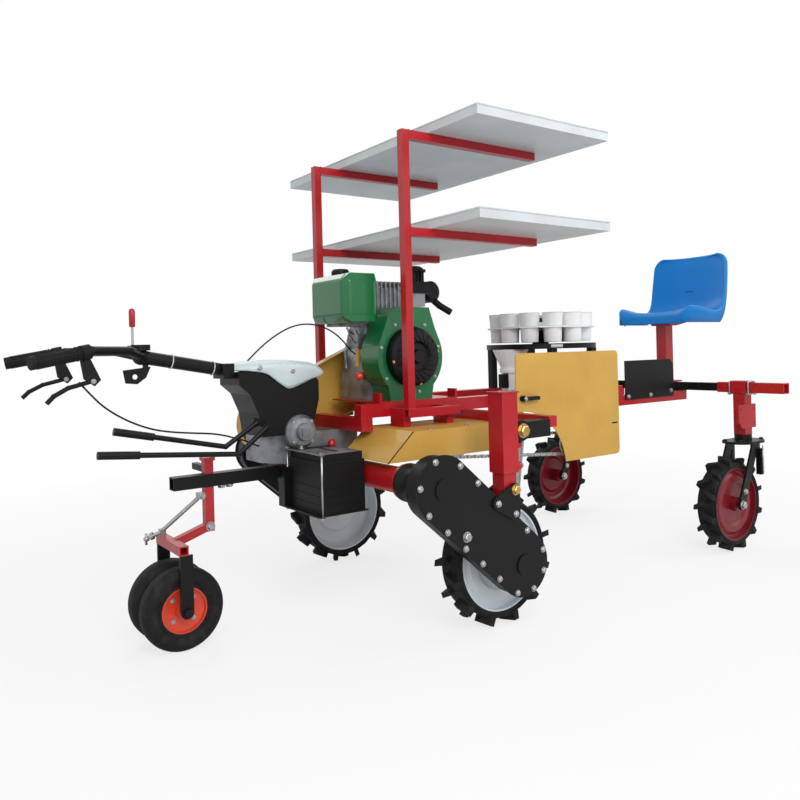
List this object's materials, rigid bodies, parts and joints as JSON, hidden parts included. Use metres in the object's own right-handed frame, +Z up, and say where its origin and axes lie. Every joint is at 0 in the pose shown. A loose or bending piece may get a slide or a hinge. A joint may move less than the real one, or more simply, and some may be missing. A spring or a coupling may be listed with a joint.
{
  "type": "seedling transplanter",
  "caption": "Walk-behind seedling transplanter with a rider's seat, a rotating cup planter, two seedling trays and a small engine",
  "frame": {"origin": "under the middle of the machine, on the ground", "axes": "+X from the handlebars to the seat, +Z up, -Y the side with the height column in front"},
  "size_m": [3.4104, 1.55, 1.853],
  "materials": {
    "red_paint": "gloss paint, dusty and worn at the edges",
    "yellow_paint": "faded ochre-yellow paint",
    "green_paint": "gloss paint",
    "black_paint": "satin paint",
    "cast_alloy": "bare casting",
    "bright_steel": "zinc plated or bare",
    "grey_sheet": "pale grey sheet",
    "pale_plastic": "pale moulded plastic",
    "disc_grey": "pale grey paint",
    "disc_red": "dark red paint",
    "rim_orange": "orange-red paint",
    "tyre_rubber": "dull with dust",
    "grip_rubber": "moulded",
    "seat_blue": "moulded shell",
    "black_plastic": "moulded"
  },
  "bodies": {
    "chassis": {"chassis_rails": "red_paint", "chassis_cross": "red_paint", "crankcase": "cast_alloy", "blower_housing": "green_paint", "recoil_starter": "black_plastic", "cylinder_head": "cast_alloy", "fuel_tank": "green_paint", "air_cleaner": "black_plastic", "muffler": "black_paint", "gearbox": "cast_alloy", "axle_housings": "red_paint", "belt_guard": "yellow_paint", "chain_guard": "yellow_paint", "chain_cases": "black_paint", "height_columns": "red_paint", "column_arms": "black_paint", "console": "black_paint", "console_cap": "pale_plastic", "handlebar": "black_paint", "hand_controls": "grip_rubber", "speed_lever": "bright_steel", "gear_levers": "black_paint", "battery": "black_plastic", "battery_bracket": "black_paint", "guide_beam": "black_paint", "guide_post": "red_paint", "guide_link": "bright_steel", "guide_fork": "black_paint", "rack_posts": "red_paint", "rack_arms": "red_paint", "tray_upper": "grey_sheet", "tray_lower": "grey_sheet", "planter_frame": "black_paint", "side_panels": "yellow_paint", "drop_funnel": "pale_plastic", "planting_beak": "bright_steel", "crossbar": "red_paint", "crossbar_core": "black_paint", "caster_posts": "red_paint", "seat": "seat_blue", "seat_post": "red_paint", "guard_panels": "black_paint", "drive_chain": "bright_steel", "panel_latches": "black_plastic", "clutch_cable": "black_plastic", "throttle_cable": "black_plastic"},
    "drive_wheel_left": {"drive_disc_left": "disc_grey", "drive_tyre_left": "tyre_rubber"},
    "drive_wheel_right": {"drive_disc_right": "disc_grey", "drive_tyre_right": "tyre_rubber"},
    "caster_left": {"caster_fork_left": "black_paint"},
    "caster_right": {"caster_fork_right": "black_paint"},
    "rear_wheel_left": {"rear_disc_left": "disc_red", "rear_tyre_left": "tyre_rubber"},
    "rear_wheel_right": {"rear_disc_right": "disc_red", "rear_tyre_right": "tyre_rubber"},
    "guide_wheels": {"guide_rims": "rim_orange", "guide_tyres": "tyre_rubber"},
    "carousel": {"carousel_ring": "pale_plastic"}
  },
  "joints": [
    {"name": "drive_wheel_left_axle", "type": "hinge", "parent": "chassis", "child": "drive_wheel_left", "pos_m": [-0.22973, -0.545, 0.24], "axis": [0, 1, 0], "continuous": true},
    {"name": "drive_wheel_right_axle", "type": "hinge", "parent": "chassis", "child": "drive_wheel_right", "pos_m": [-0.22973, 0.545, 0.24], "axis": [0, 1, 0], "continuous": true},
    {"name": "caster_left_swivel", "type": "hinge", "parent": "chassis", "child": "caster_left", "pos_m": [1.42527, -0.556, 0.56], "axis": [0, 0, 1], "continuous": true},
    {"name": "caster_right_swivel", "type": "hinge", "parent": "chassis", "child": "caster_right", "pos_m": [1.42527, 0.556, 0.56], "axis": [0, 0, 1], "continuous": true},
    {"name": "rear_wheel_left_axle", "type": "hinge", "parent": "caster_left", "child": "rear_wheel_left", "pos_m": [1.28527, -0.556, 0.222], "axis": [0, 1, 0], "continuous": true},
    {"name": "rear_wheel_right_axle", "type": "hinge", "parent": "caster_right", "child": "rear_wheel_right", "pos_m": [1.28527, 0.556, 0.222], "axis": [0, 1, 0], "continuous": true},
    {"name": "guide_wheels_axle", "type": "hinge", "parent": "chassis", "child": "guide_wheels", "pos_m": [-1.22173, 0, 0.14], "axis": [0, 1, 0], "continuous": true},
    {"name": "carousel_spindle", "type": "hinge", "parent": "chassis", "child": "carousel", "pos_m": [0.60627, 0, 1.083], "axis": [0, 0, 1], "continuous": true}
  ]
}
